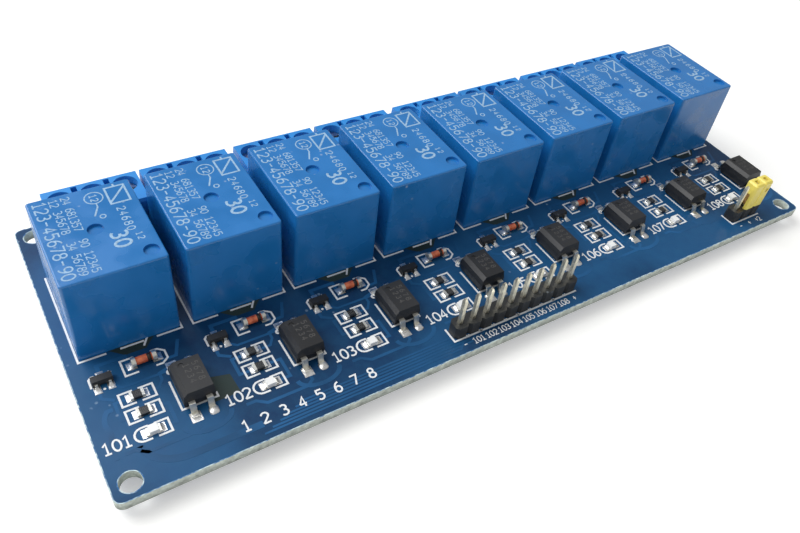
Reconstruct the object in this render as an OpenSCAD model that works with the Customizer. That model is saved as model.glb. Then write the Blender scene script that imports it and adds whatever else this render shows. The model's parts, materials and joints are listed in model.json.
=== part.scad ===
// Eight-channel relay module: a circuit board that carries eight sealed relays, eight
// three-pole screw terminals, and for each channel an optocoupler, a transistor, a diode,
// two resistors and a light, with a ten-pin input header and a three-pin supply header.
// The origin is on the floor under the board's centre, +X along the board, +Y to the
// terminals and +Z up. The board stands on the tails of the pins soldered through it.

/* [Board] */
// Length of the board
board_l = 138; // [138:0.5:144]
// Depth of the board
board_w = 55; // [55:0.5:60]
// Thickness of the board
board_t = 1.6; // [1:0.1:2.4]
// Radius of the board's corners
corner_r = 1.2; // [0.5:0.1:2.2]
// Diameter of the four mounting holes
mount_d = 3.1; // [2.5:0.1:3.3]
// Distance of the mounting holes from the short edges
mount_in_x = 2.65; // [2.4:0.05:2.8]
// Distance of the mounting holes from the long edges
mount_in_y = 2.5; // [2.4:0.05:2.8]
// Length of the pin tails that stand out below the board
tail = 1.8; // [1:0.1:3]

/* [Relays] */
// Distance from one channel to the next
channel_pitch = 17; // [16.6:0.1:17.1]
// Width of a relay at its foot
relay_w = 15; // [14.6:0.1:15.4]
// Length of a relay at its foot
relay_l = 18.7; // [18:0.1:18.8]
// Height of a relay
relay_h = 15; // [13:0.1:20]
// How far each side of a relay leans in towards its top
relay_draft = 0.15; // [0:0.05:0.4]
// Size of the softened edge around a relay's top
relay_edge = 0.25; // [0.15:0.05:0.6]

/* [Screw terminals] */
// Distance between the poles of a terminal block
pole_pitch = 5; // [4.9:0.05:5.05]
// Depth of a terminal block at its foot
block_d = 7.8; // [7.6:0.1:8.4]
// Height of a terminal block
block_h = 10; // [9.4:0.1:12]
// Diameter of the well over each terminal screw
well_d = 3.9; // [3.7:0.1:4.1]

/* [Headers] */
// Pitch of the header pins
pin_pitch = 2.54; // [2.54:0.01:2.6]
// Width of a square header pin
pin_w = 0.64; // [0.5:0.02:0.7]
// Height of the header pins above the board
pin_h = 7.9; // [7:0.1:9.5]
// Number of pins in the input header
input_pins = 10; // [4:1:12]

/* [Small parts] */
// Width of an optocoupler's body
opto_w = 4.6; // [4:0.1:4.8]
// Length of an optocoupler's body
opto_l = 6.5; // [6:0.1:6.8]
// Height of an optocoupler above the board
opto_h = 3.2; // [3:0.1:4.4]
// Diameter of a glass diode's end caps
diode_d = 1.5; // [1.2:0.1:1.7]
// Length of a chip resistor
chip_l = 2; // [1.6:0.1:2.4]
// Width of a chip resistor
chip_w = 1.25; // [0.8:0.05:1.4]

/* [Hidden] */
channels = 8;
poles = 3;
// Rows across the board, measured from its front edge.
header_y = 4.2;
led_y = 8.4;
resistor_rows = [11.8, 14.85];
opto_y = 12.7;
transistor_y = 19.25;
diode_y = 20.05;
relay_y = 33.5;
relay_gap = 0.15;
block_y = relay_y + relay_l / 2 + relay_gap;
// Places along a channel, measured from the middle of its relay.
channel_shift = 0.15;
transistor_dx = -5.65;
resistor_dx = -2.15;
led_dx = -2;
diode_dx = 0.55;
opto_dx = 5;
// Middles of the terminal blocks, measured from the board's centre. The blocks sit closer
// than the relays, which leaves the corner holes free, and their gaps are uneven.
block_x = [-56.5, -41.1, -24.7, -9, 7.8, 23.4, 39.6, 55.4];
input_header_x = -2.6;
jumper_header_in = 13.8;
jumper_header_x = board_l / 2 - jumper_header_in;
// Relay pins, measured from the relay's middle: common, two coil pins and two contacts.
relay_pins_xy = [[0, -7.1], [-6, -5.1], [6, -5.1], [-6, 7.1], [6, 7.1]];
relay_pin = [1, 0.5];
relay_hole_d = 1.5;
relay_rim = 0.8;
relay_recess = 0.4;
relay_corner_r = 0.5;
relay_top_r = 0.35;
dimple_d = 2.3;
dimple_deep = 0.45;
dimples_xy = [[0, 0], [5.6, -7.1]];
// Terminal block: what lies inside one pole, measured from the block's foot and front.
block_play = 0.2;
block_l = poles * pole_pitch - block_play;
block_lean = 0.5;
screw_y = 4.7;
shelf_z = 6.1;
shelf_t = 0.8;
chamber = [4.1, 5.3, 5.3];
chamber_y = 1.3;
floor_t = 0.8;
mouth = [3.4, 3.7];
// Pit in the top between two poles, and the wall behind it.
pit = [0.9, 1.3, 2.2];
pit_wall = 0.3;
block_pin = [1, 0.6];
block_pin_y = 1.5;
bar_w = 2.4;
bar_l = 4.7;
bar_z = 3.6;
block_hole_d = 1.5;
screw_head_d = 3.6;
screw_head_h = 1.7;
screw_slot = [0.6, 0.9];
screw_d = 2.3;
screw_play = 0.2;
cage = [3.8, 3.6, 4.2];
cage_z = 1.2;
cage_wall = 0.45;
cage_top = 1;
// Headers and the shunt on the supply header.
header_h = 2.4;
header_w = 2.5;
header_chamfer = 0.5;
pin_tip = 0.5;
header_hole_d = 1;
fit = 0.02;
jumper_pins = 3;
jumper_play = 0.06;
jumper_h = 5.8;
jumper_inner_w = 1.5;
jumper_roof = 0.9;
jumper_web = 0.5;
jumper_hole = 0.95;
jumper_round = 0.55;
// Softened edge round the top of each lobe, the open slots in the two ends, and the window
// in the front of the right lobe with its distance below the top.
jumper_edge = 0.3;
end_slot = [1, 3.4];
window = [0.75, 0.8];
window_drop = 2.3;
clip_t = 0.2;
clip_h = 3.6;
clip_z = 0.8;
clip_half = pin_pitch / 2 + pin_w + clip_t;
// Small parts.
lead_t = 0.25;
lead_w = 0.9;
opto_span = 10;
opto_lift = 0.25;
opto_side = 0.15;
opto_bevel = 0.6;
opto_end = 0.3;
opto_dot = [0.9, 0.12];
opto_dot_in = 1;
lead_pitch = 2.54;
sot = [2.9, 1.3, 1];
sot_lift = 0.1;
sot_side = 0.1;
sot_span = 2.5;
sot_lead = [0.4, 0.13];
sot_lead_dx = 0.95;
cap_step = 0.15;
glass_d = diode_d - 2 * cap_step;
glass_l = 2.4;
cap_l = 0.6;
chip_h = 0.55;
chip_end = 0.4;
led = [2, 1.25, 0.8];
led_base_h = 0.3;
led_end = 0.3;
led_slope = 0.1;
bit = 0.01;
far = 50;
$fn = 32;

top_z = tail + board_t;
mount_x = board_l / 2 - mount_in_x;
mount_y = board_w / 2 - mount_in_y;

function numbered(name) = [for (k = [1:channels]) str(name, "_", k)];
function channel_x(k) = (k - (channels + 1) / 2) * channel_pitch + channel_shift;
function pole_x(p) = (p - (poles - 1) / 2) * pole_pitch;
function pin_x(i, count) = (i - (count - 1) / 2) * pin_pitch;

// Puts its children on the board's top face, x from the board's centre and y from its
// front edge.
module on_board(x, y) translate([x, y - board_w / 2, top_z]) children();

// Draws its children once in every channel, dx from the middle of the relay.
module each_channel(dx, y) for (k = [1:channels]) on_board(channel_x(k) + dx, y) children();

// Draws its children at every pole of every terminal block.
module each_pole() for (x = block_x, p = [0:poles - 1]) on_board(x + pole_x(p), block_y) children();

module box(size) translate([-size[0] / 2, -size[1] / 2, 0]) cube(size);

module rounded_plate(w, l, r, h) linear_extrude(h)
    hull() for (x = [-1, 1], y = [-1, 1]) translate([x * (w / 2 - r), y * (l / 2 - r)]) circle(r);

// A bar along X whose section, drawn in Y and Z, is the given outline.
module bar_x(outline, length) rotate([90, 0, 90]) linear_extrude(length, center = true)
    polygon(outline);

// A bar along Y whose section, drawn in X and Z, is the given outline.
module bar_y(outline, length) rotate([90, 0, 0]) linear_extrude(length, center = true)
    polygon(outline);

// Board

module pcb_outline() union() {
    square([board_l - 2 * corner_r, board_w], center = true);
    square([board_l, board_w - 2 * corner_r], center = true);
    for (x = [-1, 1], y = [-1, 1])
        translate([x * (board_l / 2 - corner_r), y * (board_w / 2 - corner_r)]) circle(corner_r);
}

module header_holes(x, count) for (i = [0:count - 1])
    translate([x + pin_x(i, count), header_y - board_w / 2]) circle(d = header_hole_d);

module pcb_holes() {
    for (x = [-1, 1], y = [-1, 1]) translate([x * mount_x, y * mount_y]) circle(d = mount_d);
    for (k = [1:channels], p = relay_pins_xy)
        translate([channel_x(k) + p[0], relay_y - board_w / 2 + p[1]]) circle(d = relay_hole_d);
    for (x = block_x, p = [0:poles - 1])
        translate([x + pole_x(p), block_y + block_pin_y + block_pin[1] / 2 - board_w / 2])
            circle(d = block_hole_d);
    header_holes(input_header_x, input_pins);
    header_holes(jumper_header_x, jumper_pins);
}

module pcb() color("midnightblue") translate([0, 0, tail]) linear_extrude(board_t)
    difference() {
        pcb_outline();
        pcb_holes();
    }

// Relays: each is a sealed case, so its coil and contacts are inside the one solid.

// Outline of the case at height z, drawn in by a distance and as thin as the hull needs.
module relay_ring(z, drawn_in, r) translate([0, 0, z])
    rounded_plate(relay_w - 2 * drawn_in, relay_l - 2 * drawn_in, r, bit);

// The softened edge is a quarter circle in three steps of 30 degrees.
module relay_case() hull() {
    relay_ring(0, 0, relay_corner_r);
    for (a = [0:30:90])
        relay_ring(relay_h - bit - relay_edge * (1 - sin(a)), relay_draft + relay_edge * (1 - cos(a)),
                   relay_corner_r + (relay_top_r - relay_corner_r) * a / 90);
}

module relay(k) on_board(channel_x(k), relay_y) color("steelblue") difference() {
    relay_case();
    for (p = dimples_xy) translate([p[0], p[1], relay_h - dimple_deep]) cylinder(d = dimple_d, h = relay_h);
    translate([0, 0, -bit])
        box([relay_w - 2 * relay_rim, relay_l - 2 * relay_rim, relay_recess + bit]);
}

module relay_pins() color("silver") each_channel(0, relay_y) for (p = relay_pins_xy)
    translate([p[0], p[1], -top_z]) box([relay_pin[0], relay_pin[1], top_z + relay_recess]);

// Screw terminals: a housing with a chamber for each pole, a rising cage clamp in each
// chamber, a screw that lifts the cage, and a bent pin that the wire is clamped against.

module block_shell() bar_x([[0, 0], [block_d, 0], [block_d, shelf_z],
    [block_d - block_lean, block_h], [block_lean / 2, block_h], [0, block_h - block_lean]], block_l);

module pole_space() {
    translate([0, chamber_y + chamber[1] / 2, floor_t]) box(chamber);
    translate([0, block_d, floor_t]) box([mouth[0], 2 * (block_d - chamber_y - chamber[1] + bit), mouth[1]]);
    translate([0, screw_y, shelf_z - bit]) cylinder(d = screw_d + 2 * screw_play, h = far);
    translate([0, screw_y, shelf_z + shelf_t]) cylinder(d = well_d, h = far);
    translate([0, block_pin_y + block_pin[1] / 2, -bit])
        box([block_pin[0] + 2 * fit, block_pin[1] + 2 * fit, floor_t + 2 * bit]);
}

module block_pits() for (p = [0:poles - 2])
    translate([pole_x(p) + pole_pitch / 2, block_d - block_lean - pit_wall - pit[1] / 2, block_h - pit[2]])
        box([pit[0], pit[1], far]);

module terminal_block(k) on_board(block_x[k - 1], block_y) color("dodgerblue") difference() {
    block_shell();
    for (p = [0:poles - 1]) translate([pole_x(p), 0, 0]) pole_space();
    block_pits();
}

module terminal_screws() color("gainsboro") each_pole() translate([0, screw_y, shelf_z + shelf_t])
    difference() {
        union() {
            cylinder(d = screw_head_d, h = screw_head_h);
            translate([0, 0, bar_z + block_pin[1] - shelf_z - shelf_t])
                cylinder(d = screw_d, h = shelf_z + shelf_t - bar_z - block_pin[1] + bit);
        }
        translate([0, 0, screw_head_h - screw_slot[1]]) box([far, screw_slot[0], far]);
    }

module terminal_clamps() color("silver") each_pole() translate([0, screw_y, cage_z])
    difference() {
        box(cage);
        translate([0, 0, cage_wall])
            box([cage[0] - 2 * cage_wall, far, cage[2] - cage_wall - cage_top]);
        translate([0, 0, cage[2] / 2]) cylinder(d = screw_d + screw_play, h = far);
    }

module terminal_pins() color("silver") each_pole() {
    translate([0, block_pin_y + block_pin[1] / 2, -top_z])
        box([block_pin[0], block_pin[1], top_z + bar_z + block_pin[1]]);
    translate([0, block_pin_y + bar_l / 2, bar_z]) box([bar_w, bar_l, block_pin[1]]);
}

// Optocouplers, transistors and their gull-wing leads.

// Side of a lead that leaves a body at height z, bends down and ends in a flat foot.
function gull(z, reach, t) = [[0, z + t], [0.2 * reach + t, z + t], [0.4 * reach + t, t],
    [reach, t], [reach, 0], [0.4 * reach, 0], [0.2 * reach, z], [0, z]];

module lead(x, end, z, reach, w, t, back) mirror([0, back ? 0 : 1, 0])
    translate([x, end, 0]) bar_x(gull(z, reach, t), w);

// Section of the body across the leads: drafted from the parting line, bevelled on the left.
function opto_front() = [[-opto_w / 2 + opto_side, opto_lift], [opto_w / 2 - opto_side, opto_lift],
    [opto_w / 2, opto_h / 2], [opto_w / 2 - opto_side, opto_h],
    [-opto_w / 2 + opto_bevel + opto_side, opto_h], [-opto_w / 2 + opto_side, opto_h - opto_bevel],
    [-opto_w / 2, opto_h / 2]];

// Section of the body along the leads.
function opto_flank() = [[-opto_l / 2 + opto_end, opto_lift], [opto_l / 2 - opto_end, opto_lift],
    [opto_l / 2, opto_h / 2], [opto_l / 2 - opto_end, opto_h], [-opto_l / 2 + opto_end, opto_h],
    [-opto_l / 2, opto_h / 2]];

module optocoupler(k) on_board(channel_x(k) + opto_dx, opto_y) color("darkslategray")
    difference() {
        intersection() {
            bar_y(opto_front(), opto_l);
            bar_x(opto_flank(), opto_w);
        }
        translate([-opto_w / 2 + opto_bevel + opto_dot_in, opto_l / 2 - opto_end - opto_dot_in,
                   opto_h - opto_dot[1]])
            cylinder(d = opto_dot[0], h = opto_h);
    }

module opto_leads() color("silver") each_channel(opto_dx, opto_y)
    for (x = [-1, 1], back = [false, true])
        lead(x * lead_pitch / 2, opto_l / 2, opto_h / 2 - lead_t / 2, (opto_span - opto_l) / 2,
             lead_w, lead_t, back);

module transistor(k) on_board(channel_x(k) + transistor_dx, transistor_y) color("dimgray")
    bar_x([[-sot[1] / 2 + sot_side, sot_lift], [sot[1] / 2 - sot_side, sot_lift],
           [sot[1] / 2, sot_lift + sot[2] / 2], [sot[1] / 2 - sot_side, sot_lift + sot[2]],
           [-sot[1] / 2 + sot_side, sot_lift + sot[2]], [-sot[1] / 2, sot_lift + sot[2] / 2]], sot[0]);

module transistor_leads() color("silver") each_channel(transistor_dx, transistor_y)
    for (place = [[-sot_lead_dx, false], [sot_lead_dx, false], [0, true]])
        lead(place[0], sot[1] / 2, sot_lift + sot[2] / 2 - sot_lead[1] / 2, (sot_span - sot[1]) / 2,
             sot_lead[0], sot_lead[1], place[1]);

// Diodes, resistors and lights.

module diode_glass() color("orangered") each_channel(diode_dx, diode_y)
    translate([-glass_l / 2, 0, diode_d / 2]) rotate([0, 90, 0]) cylinder(d = glass_d, h = glass_l);

module diode_caps() color("silver") each_channel(diode_dx, diode_y)
    for (x = [-glass_l / 2 - cap_l, glass_l / 2])
        translate([x, 0, diode_d / 2]) rotate([0, 90, 0]) cylinder(d = diode_d, h = cap_l);

module each_resistor() for (y = resistor_rows) each_channel(resistor_dx, y) children();

module resistor_bodies() color("black") each_resistor()
    translate([0, 0, fit]) box([chip_l - 2 * chip_end, chip_w, chip_h - 2 * fit]);

module resistor_ends() color("silver") each_resistor() for (x = [-1, 1])
    translate([x * (chip_l - chip_end) / 2, 0, 0]) box([chip_end, chip_w, chip_h]);

module light(k) on_board(channel_x(k) + led_dx, led_y) color("white") {
    box([led[0] - 2 * led_end, led[1], led_base_h]);
    bar_y([[-led[0] / 2 + led_end, led_base_h], [led[0] / 2 - led_end, led_base_h],
           [led[0] / 2 - led_end - led_slope, led[2]], [-led[0] / 2 + led_end + led_slope, led[2]]],
          led[1]);
}

module led_ends() color("silver") each_channel(led_dx, led_y) for (x = [-1, 1])
    translate([x * (led[0] - led_end) / 2, 0, 0]) box([led_end, led[1], led_base_h]);

// Headers: a breakable housing with square pins, and a shunt that joins two pins.

module header_housing(x, count) on_board(x, header_y) difference() {
    for (i = [0:count - 1]) translate([pin_x(i, count), 0, 0]) linear_extrude(header_h)
        polygon([for (s = [[1, 1], [-1, 1], [-1, -1], [1, -1]], turn = [0, 1])
            let (a = header_chamfer * (turn == (s[0] * s[1] > 0 ? 0 : 1) ? 0 : 1),
                 b = header_chamfer - a)
            [s[0] * (pin_pitch / 2 - a), s[1] * (header_w / 2 - b)]]);
    for (i = [0:count - 1]) translate([pin_x(i, count), 0, -bit])
        box([pin_w + 2 * fit, pin_w + 2 * fit, header_h + 2 * bit]);
}

function pin_side() = [[-pin_w / 4, -top_z], [pin_w / 4, -top_z], [pin_w / 2, pin_tip - top_z],
    [pin_w / 2, pin_h - pin_tip], [pin_w / 4, pin_h], [-pin_w / 4, pin_h],
    [-pin_w / 2, pin_h - pin_tip], [-pin_w / 2, pin_tip - top_z]];

module header_pins(x, count) for (i = [0:count - 1]) on_board(x + pin_x(i, count), header_y)
    intersection() {
        bar_x(pin_side(), pin_w);
        bar_y(pin_side(), pin_w);
    }

module input_header_housing() color("dimgray") header_housing(input_header_x, input_pins);

module input_header_pins() color("gainsboro") header_pins(input_header_x, input_pins);

module jumper_header_housing() color("dimgray") header_housing(jumper_header_x, jumper_pins);

module jumper_header_pins() color("gainsboro") header_pins(jumper_header_x, jumper_pins);

// The shunt stands on the housing, over the two right-hand pins.
module on_shunt() on_board(jumper_header_x + pin_pitch / 2, header_y) translate([0, 0, header_h])
    children();

module jumper_lobe() hull() {
    rounded_plate(pin_pitch, header_w, jumper_round, jumper_h - jumper_edge);
    rounded_plate(pin_pitch - 2 * jumper_edge, header_w - 2 * jumper_edge, jumper_round - jumper_edge,
                  jumper_h);
}

// Two lobes, open below for the clip. A web parts the pins and leaves room for the clip.
module jumper_cap() color("gold") on_shunt() difference() {
    for (x = [-1, 1]) translate([x * (pin_pitch - jumper_play) / 2, 0, 0]) jumper_lobe();
    difference() {
        translate([0, 0, -bit])
            box([2 * (clip_half + fit), jumper_inner_w, jumper_h - jumper_roof + bit]);
        translate([0, -jumper_inner_w / 2 + clip_t, -far / 2]) box([jumper_web, jumper_inner_w, far]);
    }
    for (x = [-1, 1]) translate([x * pin_pitch / 2, 0, 0]) box([jumper_hole, jumper_hole, far]);
    for (x = [-1, 1]) translate([x * pin_pitch, 0, -bit])
        box([2 * (pin_pitch - clip_half), end_slot[0], end_slot[1] + bit]);
    translate([pin_pitch / 2, -header_w / 2, jumper_h - window_drop])
        box([window[0], header_w - jumper_inner_w + bit, window[1]]);
}

module jumper_clip() color("silver") on_shunt() translate([0, 0, clip_z]) linear_extrude(clip_h) {
    translate([-clip_half, pin_w / 2]) square([2 * clip_half, clip_t]);
    for (x = [-1, 1]) translate([x * (clip_half - clip_t / 2), 0])
        square([clip_t, pin_w + 2 * clip_t], center = true);
    for (x = [-1, 1]) translate([x * (pin_pitch / 2 + pin_w / 4), -pin_w / 2 - clip_t / 2])
        square([1.5 * pin_w + 2 * clip_t, clip_t], center = true);
}

pcb();
for (k = [1:channels]) relay(k);
relay_pins();
for (k = [1:channels]) terminal_block(k);
terminal_screws();
terminal_clamps();
terminal_pins();
for (k = [1:channels]) optocoupler(k);
opto_leads();
for (k = [1:channels]) transistor(k);
transistor_leads();
diode_glass();
diode_caps();
resistor_bodies();
resistor_ends();
for (k = [1:channels]) light(k);
led_ends();
input_header_housing();
input_header_pins();
jumper_header_housing();
jumper_header_pins();
jumper_cap();
jumper_clip();
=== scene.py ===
"""Looks of an eight-channel relay module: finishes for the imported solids, and the printing,
solder, copper tracks and small marks that lie on them, with a pale stage around the board."""

import json
import math

import bpy
import numpy as np
from bpy.props import FloatProperty, FloatVectorProperty, PointerProperty
from mathutils import Matrix, Vector


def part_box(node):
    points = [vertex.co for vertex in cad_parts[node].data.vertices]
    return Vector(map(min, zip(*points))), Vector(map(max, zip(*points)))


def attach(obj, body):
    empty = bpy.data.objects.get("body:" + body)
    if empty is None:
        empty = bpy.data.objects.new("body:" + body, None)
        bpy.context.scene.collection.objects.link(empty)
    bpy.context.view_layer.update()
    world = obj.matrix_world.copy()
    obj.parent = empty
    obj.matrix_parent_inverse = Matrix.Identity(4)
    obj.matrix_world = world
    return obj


bl_info = {
    "name": "Relay module board",
    "version": (1, 0, 0),
    "blender": (4, 5, 0),
    "location": "View3D > Sidebar > Relay board",
    "description": "Finishes, printing and solder for an eight-channel relay module",
    "category": "Object",
}

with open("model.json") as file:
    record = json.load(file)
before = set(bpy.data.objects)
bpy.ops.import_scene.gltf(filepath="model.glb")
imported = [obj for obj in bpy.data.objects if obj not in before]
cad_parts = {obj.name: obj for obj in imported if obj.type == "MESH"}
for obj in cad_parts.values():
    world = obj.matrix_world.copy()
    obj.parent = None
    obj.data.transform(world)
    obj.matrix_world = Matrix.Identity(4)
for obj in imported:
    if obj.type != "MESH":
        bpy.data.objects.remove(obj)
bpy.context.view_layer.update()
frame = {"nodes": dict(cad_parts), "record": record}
NODES = frame["nodes"]

MM = 0.001
CHANNELS = range(1, 9)
BOARD_LOW, BOARD_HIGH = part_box("pcb")
RELAY_LOW, RELAY_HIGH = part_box("relay_1")
RELAY_MIDDLE = (RELAY_LOW + RELAY_HIGH) / 2
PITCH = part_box("relay_2")[0].x - RELAY_LOW.x
OPTO_LOW, OPTO_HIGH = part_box("optocoupler_1")
TRANSISTOR_LOW, TRANSISTOR_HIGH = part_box("transistor_1")
HOLES = frame["record"]["mounts"][0]["dims"]
BOARD_CORNER = 1.2 * MM

# How deep a thin piece is let into the surface it lies on, and the step in height between
# neighbouring strokes
SEAT = 0.01 * MM
STAGGER = 0.003 * MM


def solid_middles(node):
    """Middle and size of each separate solid of a CAD node, found by joining the faces that
    share a corner until nothing changes."""
    mesh = NODES[node].data
    points = np.empty(len(mesh.vertices) * 3)
    mesh.vertices.foreach_get("co", points)
    points = points.reshape(-1, 3)
    corners = np.empty(len(mesh.loops), int)
    mesh.loops.foreach_get("vertex_index", corners)
    keys, same = np.unique(np.round(points, 7), axis=0, return_inverse=True)
    same = same.reshape(-1)
    faces = same[corners].reshape(-1, 3)
    label = np.arange(len(keys))
    while True:
        low = label[faces].min(axis=1)
        new = label.copy()
        for column in range(3):
            np.minimum.at(new, faces[:, column], low)
        new = new[new]
        if (new == label).all():
            break
        label = new
    groups = [keys[label == group] for group in np.unique(label[faces])]
    return [((g.min(0) + g.max(0)) / 2, g.max(0) - g.min(0)) for g in groups]


# Sizes and colours that a user would change


def colour(name, description, default):
    """A colour that a user can set."""
    return FloatVectorProperty(name=name, description=description, subtype="COLOR", size=3,
                               min=0.0, max=1.0, default=default)


def length(name, description, default):
    """A length that a user can set, in metres."""
    return FloatProperty(name=name, description=description, subtype="DISTANCE",
                         unit="LENGTH", min=0.0, default=default)


class RelayBoardColours(bpy.types.PropertyGroup):
    """Colours of the board, its plastics and its metals."""

    mask: colour("Solder mask", "Board lacquer over copper", (0.010, 0.082, 0.215))
    mask_deep: colour("Mask between copper", "Board lacquer between the copper areas",
                      (0.003, 0.036, 0.112))
    mask_bare: colour("Mask over laminate", "Board lacquer over the strips without copper",
                      (0.028, 0.046, 0.042))
    track: colour("Covered track", "Board lacquer over a raised track", (0.013, 0.095, 0.24))
    laminate: colour("Laminate", "Cut edge of the glass-fibre board", (0.66, 0.72, 0.66))
    # The pale rim colour is bare laminate, and along the board's outline also a painted highlight
    # on the top arris.
    rim: colour("Cut rim", "Pale line where the lacquer ends, with a painted highlight on the top arris", (0.62, 0.78, 0.8))
    ink: colour("Printing ink", "White printing on the board", (0.92, 0.94, 0.95))
    relay: colour("Relay case", "Moulded case of the relays", (0.012, 0.175, 0.5))
    relay_ink: colour("Relay printing", "Pale printing on the relays", (0.34, 0.54, 0.76))
    terminal: colour("Terminal housing", "Moulded screw terminals", (0.02, 0.26, 0.7))
    black: colour("Black plastic", "Header housings", (0.022, 0.024, 0.026))
    chip: colour("Chip mould", "Bodies of the optocouplers", (0.02, 0.021, 0.023))
    chip_ink: colour("Chip printing", "Laser marks on chip bodies", (0.085, 0.083, 0.08))
    shunt: colour("Shunt", "Yellow cap on the supply header", (0.97, 0.8, 0.16))
    glass: colour("Diode glass", "Red-brown die seen through glass", (0.66, 0.07, 0.02))
    light: colour("Light body", "Milky resin of the lights", (0.97, 0.98, 0.97))
    tin: colour("Tinned metal", "Leads and end caps", (0.92, 0.9, 0.82))
    header_pin: colour("Header pin", "Plated square pins", (0.9, 0.86, 0.7))
    solder: colour("Solder", "Solder on pads and tails", (0.93, 0.93, 0.91))
    plated: colour("Plated steel", "Terminal screws and clamps", (0.62, 0.63, 0.65))
    bronze: colour("Bronze", "Spring clip in the shunt", (0.85, 0.5, 0.18))


class RelayBoardSizes(bpy.types.PropertyGroup):
    """Sizes of the printing, the tracks and the solder."""

    ink_line: length("Printed line", "Width of a printed outline", 0.3 * MM)
    text_line: length("Text line", "Width of a stroke in printed text", 0.27 * MM)
    fine_line: length("Fine line", "Width of a stroke in the smallest text", 0.15 * MM)
    rim_line: length("Rim line", "Width of the pale line along a cut", 0.13 * MM)
    ink_height: length("Ink height", "How far the printing stands proud", 0.015 * MM)
    track_height: length("Track height", "How far a covered track stands proud", 0.03 * MM)
    pad_height: length("Pad height", "How far a tinned pad stands proud", 0.04 * MM)
    joint_height: length("Joint height", "Height of a solder cone on a tail", 1.2 * MM)


class RelayBoardStage(bpy.types.PropertyGroup):
    """The floor, the lamps and the camera."""

    floor: colour("Floor", "Floor under the board", (0.8, 0.8, 0.78))
    key: FloatProperty(name="Key lamp", description="Power of the large soft lamp",
                       subtype="POWER", unit="POWER", min=0.0, default=6.8)
    fill: FloatProperty(name="Fill lamp", description="Power of the lamp behind the camera",
                        subtype="POWER", unit="POWER", min=0.0, default=0.6)
    sky: FloatProperty(name="Sky", description="Strength of the even light all round",
                       min=0.0, default=0.42)
    glow: FloatProperty(name="Floor glow", description="Light that the floor adds for the eye",
                        min=0.0, default=0.35)
    lens: FloatProperty(name="Lens", description="Focal length of the camera",
                        subtype="DISTANCE_CAMERA", min=1.0, default=33.57)


# Meshes


def grid_quads(rows, columns, wrap_rows=False, wrap_columns=False):
    """Quads that join neighbouring points of a grid stored row by row. A wrapped direction
    joins its last line of points to its first."""
    r = np.arange(rows if wrap_rows else rows - 1)[:, None]
    c = np.arange(columns if wrap_columns else columns - 1)[None, :]
    r2, c2 = (r + 1) % rows, (c + 1) % columns
    quads = [r * columns + c, r * columns + c2, r2 * columns + c2, r2 * columns + c]
    return np.stack(np.broadcast_arrays(*quads), -1).reshape(-1, 4)


def joined(parts):
    """One mesh out of several (points, quads) pairs: the quads of each are shifted by the
    number of points before them."""
    counts = np.cumsum([0] + [len(points) for points, _ in parts[:-1]])
    return (np.concatenate([points for points, _ in parts]),
            np.concatenate([quads + start for (_, quads), start in zip(parts, counts)]))


def ribbon(path, width, low, high):
    """A flat line with square ends, or a loop where the path ends at its first point. Each
    point of the path is moved to both sides along the mean of its neighbours' normals, as far
    as keeps the width even round a corner, and the four points low and high on both sides
    make one ring of the strip."""
    path = np.asarray(path, float)
    closed = np.allclose(path[0], path[-1], atol=1e-7)
    if closed:
        path = path[:-1]
        steps = np.roll(path, -1, 0) - path
    else:
        steps = np.diff(path, axis=0)
    steps /= np.linalg.norm(steps, axis=1)[:, None]
    normals = np.stack([-steps[:, 1], steps[:, 0]], 1)
    if closed:
        before = np.roll(normals, 1, 0)
        after = normals
    else:
        before = np.concatenate([normals[:1], normals])
        after = np.concatenate([normals, normals[-1:]])
    mean = before + after
    mean /= np.maximum(np.linalg.norm(mean, axis=1), 0.3)[:, None]
    reach = np.minimum(1 / np.maximum((mean * after).sum(1), 0.5), 1.6)
    side = mean * (reach * width / 2)[:, None]
    ends = len(path)
    ring = np.empty((ends, 4, 3))
    ring[:, [0, 3], :2] = (path + side)[:, None]
    ring[:, [1, 2], :2] = (path - side)[:, None]
    ring[:, :2, 2] = low
    ring[:, 2:, 2] = high
    quads = grid_quads(ends, 4, wrap_rows=closed, wrap_columns=True)
    if not closed:
        last = 4 * (ends - 1)
        caps = np.array([[3, 2, 1, 0], [last, last + 1, last + 2, last + 3]])
        quads = np.concatenate([quads, caps])
    return ring.reshape(-1, 3), quads


def strokes(lines, low, high):
    """Flat lines as one mesh. Each line is a path and its width. Three heights are taken in
    turn, so that neighbouring strokes that cross don't end in one plane."""
    return joined([ribbon(path, width, low, high + (index % 3) * STAGGER)
                   for index, (path, width) in enumerate(lines)])


def mound(rows=9, columns=16):
    """A rounded solder mound. Over the angles u round and v up, a point is
    (cos v cos u, cos v sin u, sin v), with the sines and cosines of u and the cosine of v
    raised to the power 0.7 with their signs kept, so that the mound fills its pad."""
    u = np.linspace(0, 2 * math.pi, columns, endpoint=False)
    v = np.linspace(-1.5, 1.5, rows)

    def swell(a):
        return np.sign(a) * np.abs(a) ** 0.7

    v, u = np.meshgrid(v, u, indexing="ij")
    unit = np.stack([swell(np.cos(v)) * swell(np.cos(u)), swell(np.cos(v)) * swell(np.sin(u)),
                     np.sin(v)], -1).reshape(-1, 3)
    return unit, rows, columns


def fillet(flare, rows=9, columns=20):
    """Solder that climbs the end of a part. Over t from the part (0) to the pad's edge (1),
    the height falls as (1 - t) to the power 2.2 down to a thin rim, and the half width grows
    from 1 - flare to 1. Over the angle a round it, the section is flat below and half a
    rounded box above: width times cos a, and height times sin a, both to the power 0.5."""
    t = np.linspace(0, 1, rows)[:, None]
    a = np.linspace(0, 2 * math.pi, columns, endpoint=False)[None]
    across = np.sign(np.cos(a)) * np.abs(np.cos(a)) ** 0.5 * (1 - flare * (1 - t))
    rise = np.maximum(np.sin(a), 0) ** 0.5 * (0.12 + 0.88 * (1 - t) ** 2.2)
    unit = np.stack(np.broadcast_arrays(t, across, rise), -1).reshape(-1, 3)
    return unit, rows, columns


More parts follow.
